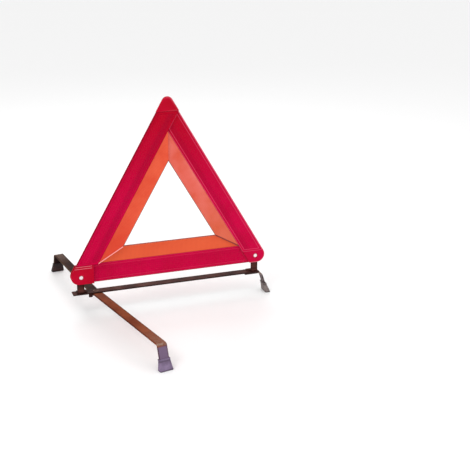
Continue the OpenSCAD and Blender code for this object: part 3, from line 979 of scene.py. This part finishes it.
def housingShells(side):
    shells = [housingPlate(side), rimOf(side)]
    if side == right:
        front = plateFront[right] + eye["lensSunk"]
        foot = rightFootOutline(0, red, lens["eyeReach"])
        shells.append(eyePlate(foot, rightPivot, front, front + eye["flatSunk"], armBack[right],
                               eye["rounding"]))
    if side == left:
        front = armFront[left] + cornerBeads["height"]
        shells.append(eyePlate(leftCornerOutline(), leftPivot, front, plateFront[left], armBack[left],
                               eye["rounding"]))
        shells += [cornerBead(depth) for depth in cornerBeads["below"]]
    return shells


def lensShells(side):
    outline = lensOutline(side)
    frameRing, reach = lensFrame(side, outline)
    shells = [frameRing, lensField(side, inset(outline, reach - lens["fieldLap"]))]
    if side == right:
        seam = triangle["seam"]
        foot = rightFootOutline(lensInset, red - seam, lens["eyeReach"] - seam)
        shells.append(eyePlate(foot, rightPivot, armFront[right], plateFront[right],
                               plateFront[right] + eye["lensSunk"], lens["rounding"]))
    return shells


def makeArms():
    plastic, reflector = finishes["plastic"], finishes["lens"]
    for side, arm in sideNames.items():
        body = sideBodies[side]
        addPiece(arm + "_housing_shell", housingShells(side), plastic, body, "red_plastic", arm + "_housing")
        addPiece(arm + "_lens", lensShells(side), reflector, body, "red_reflector", arm + "_reflector")
        addPiece(arm + "_glow_strip", [ribbedStrip(side)], glowFinishes[side], body, "fluorescent_orange",
                 arm + "_fluorescent_strip")
        addPiece(arm + "_inner_lip", [innerLipOf(side)], finishes["brownLip"], body, "red_plastic")
    # The mitre lips carry painted light: a pale painted highlight on the left arm, dark painted shade on the
    # right
    for side, finish, atEnd in ((left, "paleLip", True), (right, "darkLip", False)):
        shell, body = mitreLipOf(side, atEnd), sideBodies[side]
        addPiece(sideNames[side] + "_mitre_lip", [shell], finishes[finish], body, "red_plastic")


cap = {
    "step": 0.9 * mm,
    "rounding": 1.7 * mm,
    "flatness": 0.7,
    "crown": 5 * mm,
    "backRounding": 0.5 * mm,
    "topSteps": 17,
    "overSteps": 6,
    "crest": (0.2, 0.7, 0.5, 0.2, 0),   # on the last loops, up to the crown
    "crestFrom": 0.45,
    "lowerCrest": 0.3,
}


def makeCap():
    # The cap's outline, rounded over at the front and a little at the back: at an angle a over the front
    # edge, the loop is r (1 - cos a) further in and r (1 - sin a) times the flatness behind the front
    grow, radius = cap["step"], triangle["topRound"]
    top = arc((0, apexHeight - 2 * radius), radius + grow, 30, 150, cap["topSteps"])
    foot = (apexHeight - capHeight) / root3 + grow / sin60
    outline = np.vstack([(foot, capHeight), top, (-foot, capHeight)])
    front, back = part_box("apex_cap")[0].y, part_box("apex_cap")[1].y
    soft, slim = cap["rounding"], cap["backRounding"]
    turn = np.linspace(0, math.pi / 2, cap["overSteps"])
    over = np.stack([soft * (1 - np.cos(turn)), front + soft * cap["flatness"] * (1 - np.sin(turn))], -1)
    profile = np.vstack([(slim, back), (0, back - slim), over, (cap["crown"], front)])
    # The last loops get a painted highlight, strongest towards the right and along the top
    paler = np.zeros((len(profile), 1))
    paler[-len(cap["crest"]):, 0] = cap["crest"]
    toRight = np.clip(outline[:, 0] / foot + cap["crestFrom"], 0, 1)
    toRight = toRight * np.where(outline[:, 1] > capHeight, 1, cap["lowerCrest"])
    shell = profiled(base, outline, profile, wear=paler * toRight)
    addPiece("apex_cap_shell", [shell], finishes["plastic"], "left_arm", "red_plastic", "apex_cap")


makeArms()
makeCap()
print("arms ready")


# Bar, brackets and legs

upwards, backwards = np.array([0, 0, 1]), np.array([0, 1, 0])

strip = {
    "wide": 24 * mm,
    "thick": 3 * mm,
    "roundness": 0.8 * mm,
    "arcSteps": 4,
    "soft": 0.5 * mm,
    "softShare": 0.7,         # of the thickness, where a leg's strip starts
    # the edges' painted light: how wide it runs, and how strong it is
    "edgeWide": 2.4 * mm,
    "edgeTone": 0.7,
    "bend": 5 * mm,
    "rightBend": 12 * mm,
    "straightShares": (0.25, 0.5, 0.75),
    "bendSteps": 14,
    "slopeSteps": 4,
    "bendRub": 0.85,
    "rubFrom": 0.15,          # of half a wave, where the bend begins
    "endTurn": math.radians(73),
    "floor": 3 * mm,          # the end of a leg's strip above the ground, inside its shoe
}


def stripSections(path, normal, across, leftHalf, rightHalf, thickHalf, roundness, rubbed=0.0):
    # A strip's rounded section carried along a path: path + sideways times across + raised times normal.
    # One more point by each corner of the wide faces marks where the edge's painted light stops.
    steps = strip["arcSteps"]
    wide = (leftHalf + rightHalf)[:, None] / 2
    shift = (rightHalf - leftHalf)[:, None] / 2
    thick = thickHalf[:, None]
    radius = np.minimum(roundness, np.minimum(wide, thick))
    sideways, raised = roundedSection(wide, thick, radius, steps)
    toneStop = wide - radius - np.minimum(strip["edgeWide"], wide / 2)
    at = [steps, steps, 3 * steps, 3 * steps]
    sideways = shift + np.insert(sideways, at, np.hstack([toneStop, -toneStop, -toneStop, toneStop]), axis=1)
    raised = np.insert(raised, at, np.hstack([thick, thick, -thick, -thick]), axis=1)
    rubbed = np.broadcast_to(rubbed, len(path))[:, None]
    tone = np.insert(np.full((len(path), 4 * steps), strip["edgeTone"]), at, 0, axis=1)
    loops = path[:, None] + sideways[..., None] * across + raised[..., None] * normal[:, None]
    return stack(loops, wear=tone * (1 - rubbed) - rubbed)


def block(low, high, roundness):
    # A block from its lowest to its highest corner: a rounded section carried along x, smaller at both ends
    low, high = np.array(low), np.array(high)
    soft, half, middle = strip["soft"], (high - low) / 2, (low + high) / 2
    along = np.array([low[0], low[0] + soft, high[0] - soft, high[0]])
    shrink = np.array([soft, 0, 0, soft])
    path = np.stack([along, middle[1] + 0 * along, middle[2] + 0 * along], -1)
    wide, thick = half[1] - shrink, half[2] - shrink
    return stripSections(path, np.tile(upwards, (4, 1)), backwards, wide, wide, thick, roundness)


legEye = {
    "stripFrom": 6 * mm,      # where the strip takes over, from the pivot
    "slimmer": 0.02 * mm,
    "hole": 3.1 * mm,
    "discSteps": 25,
    "points": 72,
}


def legShape(start, sole, top, bend, roundEnd):
    # A leg's centre line: straight from its start, through a bend of radius r + t / 2, then down its slope.
    # The bend begins where the slope, run on to the ground, meets the middle of the sole. The rubbed tone
    # follows a half wave over the bend, begun a little way in.
    heading = (sole - start) * [1, 1, 0]
    reach = np.linalg.norm(heading)
    heading /= reach
    across = np.array([-heading[1], heading[0], 0])
    turn, thick, half, soft = strip["endTurn"], strip["thick"], strip["wide"] / 2, strip["soft"]
    radius, centreHeight = bend + thick / 2, top - thick - bend
    slope = (centreHeight + radius * math.cos(turn)) / math.sin(turn)
    bendAt = reach - radius * math.sin(turn) - slope * math.cos(turn)
    first = legEye["stripFrom"] if roundEnd else 0
    straight = np.append([first, first + soft], bendAt * np.array(strip["straightShares"]))
    angle = np.linspace(0, turn, strip["bendSteps"])
    run = np.linspace(0, slope - strip["floor"] / math.sin(turn), strip["slopeSteps"] + 1)[1:]
    ahead = np.concatenate([
        straight, bendAt + radius * np.sin(angle),
        bendAt + radius * math.sin(turn) + run * math.cos(turn),
    ])
    height = np.concatenate([
        np.full(len(straight), top - thick / 2), centreHeight + radius * np.cos(angle),
        centreHeight + radius * math.cos(turn) - run * math.sin(turn),
    ])
    tilt = np.concatenate([0 * straight, angle, turn + 0 * run])
    path = start * [1, 1, 0] + ahead[:, None] * heading + height[:, None] * upwards
    normal = np.sin(tilt)[:, None] * heading + np.cos(tilt)[:, None] * upwards
    wide, thickHalf = np.full(len(ahead), half), np.full(len(ahead), thick / 2)
    wide[0] -= soft
    thickHalf[0] *= strip["softShare"]
    wave = np.sin(math.pi * (strip["rubFrom"] + (1 - strip["rubFrom"]) * tilt / turn))
    rubbed = np.where(np.arange(len(ahead)) < len(straight), 0, strip["bendRub"] * wave)
    shells = [stripSections(path, normal, across, wide, wide, thickHalf, strip["roundness"], rubbed)]
    if roundEnd:
        shells.append(legEyeShape(start, heading, across, top))
    return shells


def legEyeShape(pivot, heading, across, top):
    # The leg's round end: loops from a half disc with a square front, over its rounded edge, to the hole.
    # At an angle a over the edge, a loop is r (1 - cos a) further in and r (1 - sin a) under the face.
    half, roundness, hole = strip["wide"] / 2, strip["roundness"], legEye["hole"]
    high, low = top - legEye["slimmer"], top - strip["thick"] + legEye["slimmer"]
    outline = np.vstack([arc((0, 0), half, 90, 270, legEye["discSteps"]), (half, -half), (half, half)])
    outline = evenly(outline, legEye["points"])
    ray = outline / np.linalg.norm(outline, axis=1)[:, None]
    turn = np.linspace(0, math.pi / 2, strip["arcSteps"])
    over = [(inset(outline, roundness * (1 - math.cos(a))), roundness * (1 - math.sin(a))) for a in turn]
    rows = [(plan, high - drop) for plan, drop in over]
    rows += [(ray * hole, high), (ray * hole, low)]
    rows += [(plan, low + drop) for plan, drop in over[::-1]]
    loops = [pivot * [1, 1, 0] + plan[:, :1] * heading + plan[:, 1:] * across + height * upwards
             for plan, height in rows]
    tones = np.full((len(rows), 1), strip["edgeTone"])
    tones[len(over):len(over) + 2] = 0
    return stack(np.array(loops), ring=True, wear=tones)


bracket = {
    "wide": 17.6 * mm,
    "footExtra": 8 * mm,
    "thick": 2.5 * mm,
    "bend": 2 * mm,
    "roundness": 0.6 * mm,
    "endShare": 0.6,                   # of the thickness, at both ends
    "tabTurn": math.radians(88),       # of the half disc's quarter turn
    "bendSteps": 9,
    "tabSteps": 14,
}


def bracketShape(node, pivot, sign):
    # The foot runs forward across the bar, bends up through a quarter turn, and the tab ends in a half disc:
    # its half width is the disc's radius times cos a at the height radius times sin a over the pivot
    low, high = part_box(node)
    thick, bend, soft, half = bracket["thick"], bracket["bend"], strip["soft"], bracket["wide"] / 2
    radius, turnY, turnZ = bend + thick / 2, low.y + thick + bend, low.z + thick + bend
    footY = np.array([high.y, high.y - soft, turnY + soft, turnY, turnY])
    angle = np.linspace(0, math.pi / 2, bracket["bendSteps"])
    around = np.linspace(0, bracket["tabTurn"], bracket["tabSteps"])
    backAt = np.concatenate([footY, turnY - radius * np.sin(angle), low.y + thick / 2 + 0 * around])
    height = np.concatenate([
        low.z + thick / 2 + 0 * footY, turnZ - radius * np.cos(angle), pivot[2] + half * np.sin(around),
    ])
    path = np.stack([pivot[0] + 0 * height, backAt, height], -1)
    tilt = np.concatenate([0 * footY, angle, math.pi / 2 + 0 * around])
    normal = np.stack([0 * tilt, np.sin(tilt), np.cos(tilt)], -1)
    wide = np.full(len(path), half)
    wide[0] -= soft
    wide[-len(around):] = half * np.cos(around)
    wider = wide + np.where(np.arange(len(path)) < len(footY) - 1, bracket["footExtra"], 0)
    leftHalf, rightHalf = (wide, wider) if sign > 0 else (wider, wide)
    thickHalf = np.full(len(path), thick / 2)
    thickHalf[[0, -1]] *= bracket["endShare"]
    across = np.array([1, 0, 0])
    return stripSections(path, normal, across, leftHalf, rightHalf, thickHalf, bracket["roundness"])


lug = {"wide": 9 * mm, "gap": 0.2 * mm, "roundness": 0.6 * mm}


def lugShape(sole, side):
    # The lug stands against the left edge of a leg, under the bar's front (side -1) or rear (side 1) edge
    low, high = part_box("stand_bar")
    heading = (sole - legPivot)[:2]
    heading /= np.linalg.norm(heading)
    outer = (high.y - low.y) / 2
    reach = max(-outer * heading[0], -(outer - strip["thick"]) * heading[0])
    edge = (strip["wide"] / 2 + lug["gap"] + reach) / abs(heading[1])
    startY = low.y if side < 0 else high.y - strip["thick"]
    corner = (legPivot[0] - edge - lug["wide"], startY, low.z)
    far = (legPivot[0] - edge, startY + strip["thick"], high.z - strip["thick"] / 2)
    return block(corner, far, lug["roundness"])


def makeStand():
    low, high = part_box("stand_bar")
    bar = block((low.x, low.y, high.z - strip["thick"]), high, strip["roundness"])
    lugs = [lugShape(soles["front_sole"], -1), lugShape(soles["rear_sole"], 1)]
    addPiece("bar_with_lugs", [bar, *lugs], finishes["bar"], "stand", "dark_steel", "stand_bar")
    for name, pivot, sign in (("left_bracket", leftPivot, 1), ("right_bracket", rightPivot, -1)):
        shell = bracketShape(name, pivot, sign)
        addPiece(name + "_bent", [shell], finishes["bar"], "stand", "dark_steel", name)
    for name in ("front", "rear"):
        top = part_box(name + "_leg")[1].z
        shells = legShape(legPivot, soles[name + "_sole"], top, strip["bend"], True)
        addPiece(name + "_leg_strip", shells, finishes[name + "Leg"], name + "_swing_leg", "dark_steel",
                 name + "_leg")
    low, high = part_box("right_leg")
    start = np.array([low.x, soles["right_sole"][1], 0])
    shells = legShape(start, soles["right_sole"], high.z, strip["rightBend"], False)
    addPiece("right_leg_strip", shells, finishes["rightLeg"], "stand", "dark_steel", "right_leg")


# Rivets, spacers and washer

rivet = {
    "shank": 3.0 * mm,
    "head": 5.0 * mm,
    "headHeight": 1.4 * mm,
    "legHead": 6.5 * mm,
    "footShank": 2.4 * mm,
    "footHead": 4.0 * mm,
    "footPlaces": (-2.8 * mm, 10.8 * mm),
    "steelHeight": 1.8 * mm,     # of the leg's and the feet's heads
    "rimShare": 0.35,
    "rimTone": -0.9,
    "toneFrom": 0.72,            # of the head's radius
    "poleShare": 0.04,
    "domeSteps": 7,
}

pivotRing = {"hole": 3.05 * mm, "soft": 0.2 * mm}


def headProfile(start, height, radius):
    # A domed head from its pole out to its rim: radius cos a outwards and dome sin a up, over a straight rim
    dome = height * (1 - rivet["rimShare"])
    angle = np.linspace(math.pi / 2, 0, rivet["domeSteps"])
    outwards = np.maximum(radius * np.cos(angle), radius * rivet["poleShare"])
    curve = np.stack([start + dome - dome * np.sin(angle), outwards], -1)
    return np.vstack([curve, (start + height, radius)])


def twoHeaded(middle, axis, start, stop, shank, head, height, rimTone=0.0):
    # A rivet turned about its axis, with the same domed head at its start and its stop
    near = headProfile(start, height, head)
    far = near[::-1] * [-1, 1] + [start + stop, 0]
    profile = np.vstack([near, (start + height, shank), (stop - height, shank), far])
    tones = np.where(profile[:, 1:] > rivet["toneFrom"] * head, rimTone, 0.0)
    return turned(profile, middle - axis * (middle @ axis), axis, wear=tones)


def ringAround(node, pivot, axis):
    # A flat ring turned about its axis, with softened edges, that fills its node's box
    low, high = (np.array(corner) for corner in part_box(node))
    start, stop, size = low @ axis, high @ axis, (high - low)[0] / 2
    hole, soft = pivotRing["hole"], pivotRing["soft"]
    profile = [
        (start + soft, size), (stop - soft, size), (stop, size - soft), (stop, hole + soft),
        (stop - soft, hole), (start + soft, hole), (start, hole + soft), (start, size - soft),
    ]
    return turned(profile, pivot - axis * (pivot @ axis), axis, ring=True)


def pivotRivet(node, pivot, axis, head, height):
    # A rivet that fills its node's box along the axis, with painted shade round its heads' rims
    low, high = (np.array(corner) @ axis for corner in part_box(node))
    return twoHeaded(pivot, axis, low, high, rivet["shank"], head, height, rivet["rimTone"])


def makeRivets():
    zinc, steel, height = finishes["zinc"], finishes["bar"], rivet["steelHeight"]
    for name, pivot in (("left", leftPivot), ("right", rightPivot)):
        node = name + "_arm_rivet"
        shell = pivotRivet(node, pivot, backwards, rivet["head"], rivet["headHeight"])
        addPiece(node + "_domed", [shell], zinc, "stand", "bright_steel", node)
        node = name + "_pivot_spacer"
        shell = ringAround(node, pivot, backwards)
        addPiece(name + "_pivot_ring", [shell], zinc, "stand", "bright_steel", node)
    shell = pivotRivet("leg_pivot_rivet", legPivot, upwards, rivet["legHead"], height)
    addPiece("leg_pivot_rivet_domed", [shell], steel, "stand", "dark_steel", "leg_pivot_rivet")
    shell = ringAround("leg_washer", legPivot, upwards)
    addPiece("leg_washer_ring", [shell], zinc, "stand", "bright_steel", "leg_washer")
    # The feet's rivets go through the bar at the left, and through the bar and the leg at the right
    low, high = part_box("bracket_rivets")
    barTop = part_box("stand_bar")[1].z
    shank, head, shells = rivet["footShank"], rivet["footHead"], []
    for pivot, sign, layers in ((leftPivot, 1, 1), (rightPivot, -1, 2)):
        for offset in rivet["footPlaces"]:
            middle = np.array([pivot[0] + sign * offset, (low.y + high.y) / 2, 0])
            start = barTop - layers * strip["thick"] - height
            shells.append(twoHeaded(middle, upwards, start, high.z, shank, head, height))
    addPiece("bracket_rivets_domed", shells, steel, "stand", "dark_steel", "bracket_rivets")


makeStand()
makeRivets()
print("stand ready")


# Rubber shoes

shoe = {
    "height": 25 * mm,
    "sole": (32.6 * mm, 14 * mm),        # wide and thick
    "top": (28.4 * mm, 9 * mm),          # of the collar
    "lean": math.radians(17),
    "flare": 1.15,
    "flareSteps": 12,
    "edge": 1.6 * mm,
    "under": ((0, 5 * mm), (0, 1.5 * mm), (0.48 * mm, 0.5 * mm)),   # height, and how far inside the sole
    "collar": 2.2 * mm,
    "collarStep": 0.5 * mm,
    "soft": 0.4 * mm,
    "mouth": 3 * mm,
    "mouthGap": 0.1 * mm,
    "corner": 2.6 * mm,
    "cornerShare": 0.8,                  # of the half thickness, at most
    "arcSteps": 6,
    "soleDark": 0.8,
    "collarDark": 0.7,
}


def shoeShape(sole, heading):
    # Rounded loops up the shoe: half sizes run from the sole's to the neck's, under the collar, along
    # neck + (sole - neck) (1 - h) to the flare's power, and the whole leans back with height
    across = np.array([-heading[1], heading[0], 0])
    tall, collar, soft = shoe["height"], shoe["collar"], shoe["soft"]
    bottom, top = np.array(shoe["sole"]) / 2, np.array(shoe["top"]) / 2
    neck = top - shoe["collarStep"]
    mouth = np.array([strip["wide"], strip["thick"] / math.cos(shoe["lean"])]) / 2 + shoe["mouthGap"]
    under = np.array(shoe["under"])
    share = np.linspace(0, 1, shoe["flareSteps"])
    sides = neck + (bottom - neck) * ((1 - share) ** shoe["flare"])[:, None]
    height = np.concatenate([
        under[:, 0], shoe["edge"] + share * (tall - collar - shoe["edge"]),
        [tall - collar, tall - collar + soft, tall - soft, tall, tall, tall - shoe["mouth"]],
    ])[:, None]
    half = np.vstack([bottom - under[:, 1:], sides, neck, top, top, top - soft, mouth, mouth])
    wide, thick = half[:, :1], half[:, 1:]
    radius = np.minimum(shoe["corner"], shoe["cornerShare"] * thick)
    radius[-2:] = shoe["mouthGap"]
    sideways, ahead = roundedSection(wide, thick, radius, shoe["arcSteps"])
    ahead = ahead - height * math.tan(shoe["lean"])
    loops = sole + sideways[..., None] * across + ahead[..., None] * heading + height[..., None] * upwards
    # Painted shade: a dark ring round the sole and another under the collar
    dark = np.zeros_like(height)
    dark[:len(under) + 1] = -shoe["soleDark"]
    dark[-8:-6] = -shoe["collarDark"]      # under the collar
    return stack(loops, wear=dark)


def makeShoes():
    # Each shoe faces the way its leg runs, which for the right leg is along the bar
    legs = {
        "front": ("front_swing_leg", legPivot, [1, 1, 0]),
        "rear": ("rear_swing_leg", legPivot, [1, 1, 0]),
        "right": ("stand", rightPivot, [1, 0, 0]),
    }
    for name, (body, start, level) in legs.items():
        sole = soles[name + "_sole"]
        heading = (sole - start) * level
        heading /= np.linalg.norm(heading)
        shell = shoeShape(sole, heading)
        addPiece(name + "_rubber_shoe", [shell], finishes[name + "Shoe"], body, "rubber", name + "_shoe")


makeShoes()
print("shoes ready")
